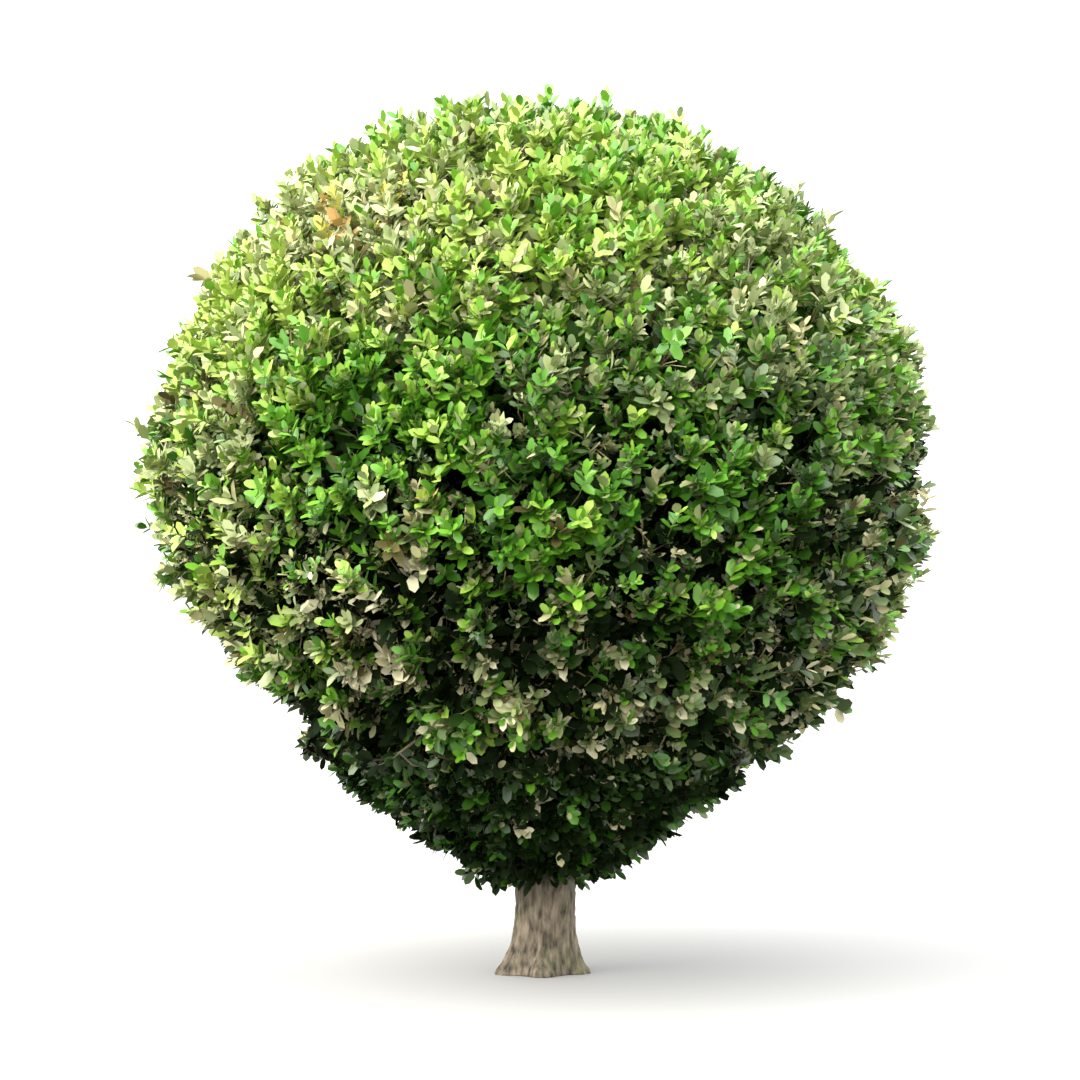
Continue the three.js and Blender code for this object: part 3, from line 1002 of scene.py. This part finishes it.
size = np.where(fresh, *LEAF_SIZES) + patch_effect(shoot_outline, PATCH_SIZE)
size *= drawn(len(shoots), *SIZE_CHANGE)
tip_gap = np.where(fresh, 0.0, OLD_TIP_GAP + OLD_TIP_GAP_MORE * rng.random(len(shoots)))
mess = np.where(fresh, *MESS)
ranks = spray_colours(shoot_outline, fresh, spray_tone[spray])
curled = rng.random(len(shoots)) < CURLED_SHARE
curled &= patch_strength(shoot_outline, "dead") > CURLED_WHERE_DEAD
size = np.where(curled, CURLED_SIZE, size)
ranks = np.where(curled, CREAM, ranks)
new_groups = []
old_groups = []
for pair in range(FRESH_PAIRS):
    leaves = leaves_on(shoots, outward, pair, size, tip_gap, mess)
    leaves["rank"] = leaf_ranks(leaves, ranks, outward, pair)
    is_fresh = fresh[leaves["row"]]
    lost = rng.random(len(is_fresh)) < np.where(is_fresh, *LOST_SHARES)
    cut = rng.random(len(is_fresh)) < np.where(is_fresh, *CUT_SHARES)
    whole = WHOLE_LEAF if pair == 0 else PLAIN_LEAF
    new_groups.append((whole, picked(leaves, is_fresh & ~cut)))
    new_groups.append((CUT_LEAF, picked(leaves, is_fresh & cut)))
    if pair < OLD_PAIRS:
        old_groups.append((PLAIN_LEAF, picked(leaves, ~is_fresh & ~cut & ~lost)))
        old_groups.append((CUT_LEAF, picked(leaves, ~is_fresh & cut & ~lost)))
make_leaves("new_leaves", new_groups, "crown_leaves", CROWN)
make_leaves("old_leaves", old_groups, "crown_leaves", CROWN)

# Darker, larger leaves on the twigs below, which close the view through the crown. Their colours
# are painted light and shade: light greens and greys high on the ball and on the left, mid greens
# lower, and the near-black deep_shade, painted shade, lowest.
INNER_LEAVES = (
    # order, pairs on each branch, size, gap between pairs as a multiple of the usual
    (4, 3, 1.4, 1.5),
    (3, 6, 2.1, 1.7),
    (2, 12, 2.6, 1.4),
    (1, 14, 2.8, 1.8),
)
INNER_TIP_GAP = 0.002
INNER_MESS = 0.4
INNER_SHOWN = (4, 5, 6, RUN + 4, RUN + 5, RUN + 6)
INNER_LIGHT_LEFT = 0.3
INNER_LIGHT_SPREAD = 0.12
INNER_LIT = 0.4
INNER_HALF_LIT = 0.1

inner_groups = []
for order, pairs, leaf_size, gap in INNER_LEAVES:
    carriers = orders[order]
    outs = unit(carriers[:, -1] - SHOOT_CENTRE)
    for pair in range(pairs):
        leaves = leaves_on(carriers, outs, pair * gap, leaf_size, INNER_TIP_GAP, INNER_MESS)
        # Painted light: higher on the ball and further left counts as more light
        light = high_on_ball(leaves["seat"]) - INNER_LIGHT_LEFT * leaves["seat"][:, 0]
        light += rng.normal(0, INNER_LIGHT_SPREAD, len(light))
        shown = rng.choice(INNER_SHOWN, len(light))
        dimmed = np.where(light > INNER_HALF_LIT, shown % RUN // 2, SHADE)
        leaves["rank"] = np.where(light > INNER_LIT, shown, dimmed)
        inner_groups.append((PLAIN_LEAF, leaves))
make_leaves("inner_leaves", inner_groups, "crown_leaves", CROWN)

# Leaves of the foot, in the darkest greens and much near-black deep_shade: painted shade under the
# ball
FOOT_PAIRS = 4
FOOT_RANKS = (0, 0, 1, 1, 1, 2)
FOOT_GREY_SHARE = 0.02
FOOT_OTHERS = ((0.46, SHADE), (0.01, CREAM))
FOOT_LEAF_SIZE = 0.88
FOOT_MESS = 0.22

foot_ranks = rng.choice(FOOT_RANKS, foot_count)
foot_ranks = np.where(rng.random(foot_count) < FOOT_GREY_SHARE, foot_ranks + RUN, foot_ranks)
for share, rank in FOOT_OTHERS:
    foot_ranks = np.where(rng.random(foot_count) < share, rank, foot_ranks)
foot_groups = []
for pair in range(FOOT_PAIRS):
    leaves = leaves_on(foot_shoots, foot_ways, pair, FOOT_LEAF_SIZE, 0.0, FOOT_MESS)
    leaves["rank"] = leaf_ranks(leaves, foot_ranks, foot_ways, pair)
    foot_groups.append((WHOLE_LEAF if pair == 0 else PLAIN_LEAF, leaves))
make_leaves("foot_leaves", foot_groups, "foot_leaves", FOOT)

# Stems of the shoots, and the bare stubs between them. Radii count in shoot thicknesses.
SHOOT_RADII = (1.56, 0.91)
STUB_RADII = (1.0, 1.7)
STUB_TAPER = (1.2, 0.8)
FOOT_STEM_RADIUS = 1.6
FOOT_TWIG_RADII = (3.0, 4.5)
FOOT_TAPER = 0.5
GREY_SHARE = 0.3
FOOT_STEM_GREY_SHARE = 0.15
FOOT_TWIG_GREY_SHARE = 0.6

start, end = (np.full(len(shoots), SHOOT_THICKNESS * radius) for radius in SHOOT_RADII)
rank = np.where(fresh, TWIG_GREEN, TWIG_TAN)
rank = np.where(~fresh & (rng.random(len(rank)) < GREY_SHARE), TWIG_GREY, rank)
make_tubes("shoot_stems", shoots, start, end, 3, rank, "crown_leaves", CROWN, True)

radius = SHOOT_THICKNESS * rng.uniform(*STUB_RADII, len(stubs))
start, end = (radius * share for share in STUB_TAPER)
rank = rng.choice([TWIG_CUT, TWIG_CUT, TWIG_TAN, TWIG_TAN, TWIG_GREY], len(stubs))
make_tubes("clipped_stubs", stubs, start, end, 3, rank, "bark", CROWN)

start = np.full(foot_count, SHOOT_THICKNESS * FOOT_STEM_RADIUS)
rank = np.where(rng.random(foot_count) < FOOT_STEM_GREY_SHARE, TWIG_GREY, TWIG_DARK)
make_tubes("foot_stems", foot_shoots, start, start * FOOT_TAPER, 3, rank, "foot_leaves", FOOT, True)

start = SHOOT_THICKNESS * rng.uniform(*FOOT_TWIG_RADII, len(foot_twigs))
rank = np.where(rng.random(len(foot_twigs)) < FOOT_TWIG_GREY_SHARE, TWIG_GREY, TWIG_DARK)
make_tubes("foot_twigs", foot_twigs, start, start * FOOT_TAPER, 5, rank, "foot_leaves", FOOT)

# Twigs and branches, each no thicker than what carries it
# Name, order and sides
BRANCH_PIECES = (("twigs", 4, 3), ("branchlets", 3, 4), ("branches", 2, 5), ("limbs", 1, 8))
FORK_SHARE = 0.95
BRANCH_TAPER = 0.62
BRANCH_GREY_SHARE = 0.5

for name, order, sides in BRANCH_PIECES:
    curves = orders[order]
    carrier = thickness[order - 1][owners[order - 1]]
    start = np.minimum(thickness[order], carrier * FORK_SHARE)
    rank = np.where(rng.random(len(curves)) < BRANCH_GREY_SHARE, TWIG_GREY, TWIG_DARK)
    pointed = name == "twigs"
    make_tubes(name, curves, start, start * BRANCH_TAPER, sides, rank, "bark", CROWN, pointed)

# Trunk and boughs in one mesh, with the fork smoothed and the bark in relief
BARK_VOXEL = 0.0038
SOFTENING = 4
STEM_SIDES = 64
STEM_RINGS = 24
RING_CROWDING = 1.25
LIMB_SIDES = 20
LOBES = 5
LOBE_TURN = 1.1
LOBE_DEPTH = 0.28
FOOT_OVAL = 0.12
FLUTES = 3
FLUTE_DEPTH = 0.0016
FLUTE_TWIST_HEIGHT = 0.04
# Relief of the bark: height, length, stretch up the stem, seed
BARK_RELIEF = (
    (0.0012, 0.0075, 0.28, 51),
    (0.0007, 0.005, 1.0, 52),
    (0.0012, 0.03, 1.0, 53),
)
RELIEF_START = 0.004


def stem_rings():
    """Level sections of the stem: flared and lobed at the ground, swelling again to the head."""
    angle = np.arange(STEM_SIDES) / STEM_SIDES * 2 * math.pi
    lobe = 1 - LOBE_DEPTH * (1 - np.cos(LOBES * angle + LOBE_TURN)) + FOOT_OVAL * np.cos(2 * angle)
    rings = []
    for share in np.linspace(0, 1, STEM_RINGS):
        height = STEM_TOP[2] * share**RING_CROWDING
        flare = STEM_FLARE * math.exp(-height / STEM_FLARE_HEIGHT)
        flute = FLUTE_DEPTH * np.cos(FLUTES * angle + height / FLUTE_TWIST_HEIGHT)
        radius = STEM_RADIUS + STEM_HEAD_SWELL * share**4 + flute + flare * lobe
        across = np.cos(angle) * radius + STEM_TOP[0] * share
        deep = np.sin(angle) * radius + STEM_TOP[1] * share
        rings.append(np.stack([across, deep, np.full(STEM_SIDES, height)], axis=1))
    return np.array(rings)


def section_skin(rings):
    """Closed skin over rings of points, from the first ring to the last."""
    length, sides = rings.shape[:2]
    ends = [tuple(reversed(range(sides))), tuple(range((length - 1) * sides, length * sides))]
    return rings.reshape(-1, 3), [*between_rings(length, sides), *ends]


def limb_rings(line, radius):
    """Round sections along a bough's middle line, from its seat to its thinner end."""
    start, end = np.array([radius]), np.array([radius * BOUGH_TAPER])
    return tubes(line[None], start, end, LIMB_SIDES)[0].reshape(len(line), LIMB_SIDES, 3)


def rough_wood():
    """Stem and boughs as closed skins that still run into each other."""
    skins = [stem_rings()]
    for index, line in enumerate(boughs):
        thinned = BOUGH_RADIUS * (1 - BOUGH_THINNING * (index % 3))
        skins.append(limb_rings(line, LEADER_RADIUS if index == 0 else thinned))
    all_places = []
    all_faces = []
    for rings in skins:
        offset = sum(len(places) for places in all_places)
        places, faces = section_skin(rings)
        all_places.append(places)
        all_faces += [tuple(corner + offset for corner in face) for face in faces]
    mesh = bpy.data.meshes.new("rough_wood")
    mesh.from_pydata(np.concatenate(all_places).tolist(), [], all_faces)
    mesh.update()
    return mesh


def joined_wood():
    """The skins made one by a voxel remesh, then softened at the forks."""
    rough = put_in_scene("rough_wood", rough_wood())
    remesh = rough.modifiers.new("join", "REMESH")
    remesh.mode = "VOXEL"
    remesh.voxel_size = BARK_VOXEL
    soften = rough.modifiers.new("soften", "SMOOTH")
    soften.iterations = SOFTENING
    depsgraph = bpy.context.evaluated_depsgraph_get()
    mesh = bpy.data.meshes.new_from_object(rough.evaluated_get(depsgraph))
    bpy.data.objects.remove(rough)
    mesh.name = "trunk_and_boughs"
    return mesh


def read_vertices(mesh, kind):
    """The places or the normals of a mesh's vertices."""
    values = np.zeros(len(mesh.vertices) * 3, np.float32)
    mesh.vertices.foreach_get(kind, values)
    return values.reshape(-1, 3).astype(float)


def add_bark_relief(mesh):
    """Plates and furrows that run up the stem, with the foot kept on the ground."""
    places = read_vertices(mesh, "co")
    relief = np.zeros(len(places))
    for height, length, stretch, seed in BARK_RELIEF:
        relief += height * soft_noise(places * np.array([1.0, 1.0, stretch]), length, seed)
    relief *= ramp(places[:, 2], 0, RELIEF_START)
    places += read_vertices(mesh, "normal") * relief[:, None]
    places[:, 2] = np.maximum(places[:, 2], 0.0)
    mesh.vertices.foreach_set("co", places.astype(np.float32).ravel())
    mesh.update()
    mesh.shade_smooth()


# Bark: dark fissures along the grain, paler ridges between them, and a little moss
FISSURE_COLOUR = (0.16, 0.135, 0.1)
RIDGE_COLOUR = (0.53, 0.48, 0.4)
FISSURE_TO_RIDGE = (0.32, 0.68)
GRAIN_STRETCH = {"Scale": (1.0, 1.0, 0.25)}
GRAIN_NOISE = {"Scale": 170.0, "Detail": 6.0}
MOSS_COLOUR = (0.36, 0.39, 0.24)
MOSS_NOISE = {"Scale": 26.0, "Detail": 3.0}
MOSS_COVER = {"From Min": 0.52, "From Max": 0.72, "To Max": 0.55}
BARK_BUMP = {"Strength": 0.8, "Distance": 0.0015}
BARK_ROUGHNESS = 0.88


def bark_material():
    material = bpy.data.materials.new("bark")
    material.use_nodes = True
    tree = material.node_tree
    shader = tree.nodes["Principled BSDF"]
    shader.inputs["Roughness"].default_value = BARK_ROUGHNESS
    coordinates = add_node(tree, "ShaderNodeTexCoord")
    mapping = add_node(tree, "ShaderNodeMapping", GRAIN_STRETCH)
    grain = add_node(tree, "ShaderNodeTexNoise", GRAIN_NOISE)
    fissures = add_node(tree, "ShaderNodeValToRGB")
    colours = (FISSURE_COLOUR, RIDGE_COLOUR)
    for stop, place, colour in zip(fissures.color_ramp.elements, FISSURE_TO_RIDGE, colours):
        stop.position = place
        stop.color = from_display(colour)
    patches = add_node(tree, "ShaderNodeTexNoise", MOSS_NOISE)
    moss = add_node(tree, "ShaderNodeMapRange", MOSS_COVER)
    mix = tree.nodes.new("ShaderNodeMix")
    mix.data_type = "RGBA"
    mix.inputs["B"].default_value = from_display(MOSS_COLOUR)
    bump = add_node(tree, "ShaderNodeBump", BARK_BUMP)
    for outlet, inlet in (
        (coordinates.outputs["Object"], mapping.inputs["Vector"]),
        (mapping.outputs["Vector"], grain.inputs["Vector"]),
        (grain.outputs["Fac"], fissures.inputs["Fac"]),
        (coordinates.outputs["Object"], patches.inputs["Vector"]),
        (patches.outputs["Fac"], moss.inputs["Value"]),
        (moss.outputs["Result"], mix.inputs["Factor"]),
        (fissures.outputs["Color"], mix.inputs["A"]),
        (mix.outputs["Result"], shader.inputs["Base Color"]),
        (grain.outputs["Fac"], bump.inputs["Height"]),
        (bump.outputs["Normal"], shader.inputs["Normal"]),
    ):
        tree.links.new(outlet, inlet)
    return material


wood_mesh = joined_wood()
add_bark_relief(wood_mesh)
wood_mesh.materials.append(bark_material())
hand_over("trunk_and_boughs", wood_mesh, WOOD)

# Floor: pale and wide. It throws no light back up, so the underside of the ball stays dark.
FLOOR_RADIUS = 60.0
FLOOR_SIDES = 96
FLOOR_COLOUR = (0.64, 0.64, 0.635)
FLOOR_SHINE = (0.9, 0.1)

floor_turn = np.arange(FLOOR_SIDES) / FLOOR_SIDES * 2 * math.pi
floor_ring = np.stack([np.cos(floor_turn), np.sin(floor_turn), 0 * floor_turn], axis=1)
floor_mesh = bpy.data.meshes.new("floor")
floor_mesh.from_pydata((floor_ring * FLOOR_RADIUS).tolist(), [], [tuple(range(FLOOR_SIDES))])
floor_mesh.materials.append(plain_material("floor", FLOOR_COLOUR, *FLOOR_SHINE))
floor = put_in_scene("floor", floor_mesh)
floor.visible_diffuse = False
floor.visible_glossy = False

# Light: a white dome, dim below the horizon and brightest overhead, and a soft sun high on
# the left. The dome's two steps add up, and go from heights of a direction of length 1.
DOME_STEPS = (
    {"From Min": -0.3, "From Max": -0.05, "To Min": 0.32, "To Max": 2.0},
    {"From Min": 0.1, "From Max": 0.9, "To Min": 0.0, "To Max": 2.1},
)
SUN_STRENGTH = 4.0
SUN_WIDTH = math.radians(50)
SUN_COLOUR = (1.0, 0.96, 0.86)


def light_dome():
    world = bpy.data.worlds.new("studio")
    scene.world = world
    world.use_nodes = True
    tree = world.node_tree
    coordinates = add_node(tree, "ShaderNodeTexCoord")
    split = add_node(tree, "ShaderNodeSeparateXYZ")
    tree.links.new(coordinates.outputs["Generated"], split.inputs["Vector"])
    strength = add_node(tree, "ShaderNodeMath")
    strength.operation = "ADD"
    for place, step in enumerate(DOME_STEPS):
        change = add_node(tree, "ShaderNodeMapRange", step)
        tree.links.new(split.outputs["Z"], change.inputs["Value"])
        tree.links.new(change.outputs["Result"], strength.inputs[place])
    background = tree.nodes["Background"]
    background.inputs["Color"].default_value = (1.0, 1.0, 1.0, 1.0)
    tree.links.new(strength.outputs["Value"], background.inputs["Strength"])


def sun():
    data = bpy.data.lights.new("sun", "SUN")
    data.energy = SUN_STRENGTH
    data.angle = SUN_WIDTH
    data.color = SUN_COLOUR
    light = put_in_scene("sun", data)
    light.rotation_euler = Vector(-LIGHT_WAY).to_track_quat("-Z", "Y").to_euler()


light_dome()
sun()

scene.view_settings.view_transform = "Standard"
scene.view_settings.look = "None"
scene.view_settings.exposure = 0.0
